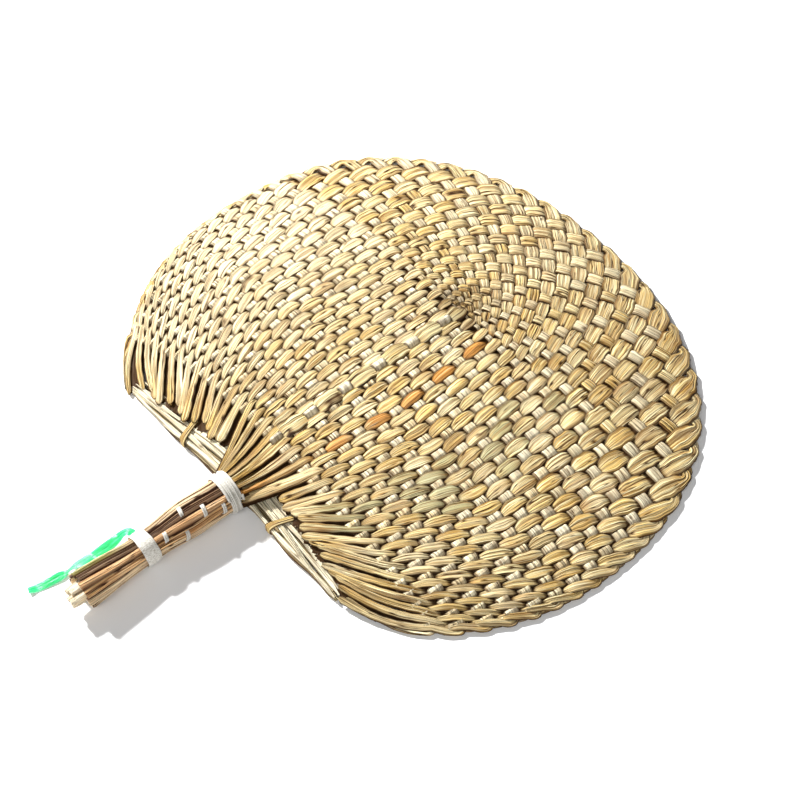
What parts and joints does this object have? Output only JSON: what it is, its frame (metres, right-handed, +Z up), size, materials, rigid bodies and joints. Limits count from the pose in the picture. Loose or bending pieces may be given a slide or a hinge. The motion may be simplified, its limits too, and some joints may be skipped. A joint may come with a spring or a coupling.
{
  "type": "palm leaf hand fan",
  "caption": "Heart-shaped hand fan plaited from dried palm leaf strands, with straight bound shoulders, a stalk handle with bindings and spiral stitch, and a flat green tie.",
  "frame": {"origin": "centre of the fan's bounding box in plan, on the surface that it lies on; the hanging tie is left out of the box", "axes": "+Y from the handle to the crown of the rim, +Z up out of the face that shows, +X to the right seen from above"},
  "size_m": [0.3714, 0.4308, 0.026],
  "materials": {
    "straw": "dried palm leaf strands, finely ribbed, satin",
    "pale_straw": "bleached palm leaf strands, finely ribbed, satin",
    "orange_straw": "darkened palm leaf strand, satin",
    "spine": "leaf midrib strand, pale olive, satin",
    "shoulder": "leaf strands laid side by side, satin",
    "wrap": "leaf strand taken round the shoulder, satin",
    "stalks": "bundle of dried leaf stalks, grooved, satin",
    "core": "inner leaf stalks, cut square",
    "thread": "light cotton thread, matte",
    "tape": "flat white tape, matte",
    "tie": "thin flat green strip"
  },
  "bodies": {
    "root": {"crown_strand_01": "straw", "crown_strand_02": "straw", "crown_strand_03": "straw", "crown_strand_04": "straw", "crown_strand_05": "straw", "crown_strand_06": "straw", "crown_strand_07": "straw", "crown_strand_08": "straw", "crown_strand_09": "straw", "crown_strand_10": "straw", "crown_strand_11": "straw", "crown_strand_12": "straw", "crown_strand_13": "straw", "crown_strand_14": "straw", "crown_strand_15": "straw", "crown_strand_16": "straw", "crown_strand_17": "straw", "crown_strand_18": "straw", "crown_strand_19": "straw", "crown_strand_20": "orange_straw", "crown_strand_21": "straw", "crown_strand_22": "straw", "crown_strand_23": "straw", "crown_strand_24": "straw", "cross_strand_01": "pale_straw", "cross_strand_02": "pale_straw", "cross_strand_03": "pale_straw", "cross_strand_04": "pale_straw", "cross_strand_05": "pale_straw", "cross_strand_06": "pale_straw", "cross_strand_07": "pale_straw", "cross_strand_08": "pale_straw", "cross_strand_09": "pale_straw", "cross_strand_10": "pale_straw", "cross_strand_11": "pale_straw", "cross_strand_12": "pale_straw", "spine_strand": "spine", "left_shoulder_strand_1": "shoulder", "left_shoulder_strand_2": "shoulder", "left_shoulder_strand_3": "shoulder", "left_shoulder_wrap": "wrap", "right_shoulder_strand_1": "shoulder", "right_shoulder_strand_2": "shoulder", "right_shoulder_strand_3": "shoulder", "right_shoulder_wrap": "wrap", "grip_stalks_1": "stalks", "grip_stalks_2": "stalks", "grip_stalks_3": "stalks", "grip_stalks_4": "stalks", "grip_stalks_5": "stalks", "grip_stalks_6": "stalks", "core_stalks": "core", "neck_binding": "thread", "grip_binding": "tape", "spiral_stitch": "thread", "hanging_tie": "tie"}
  },
  "joints": []
}
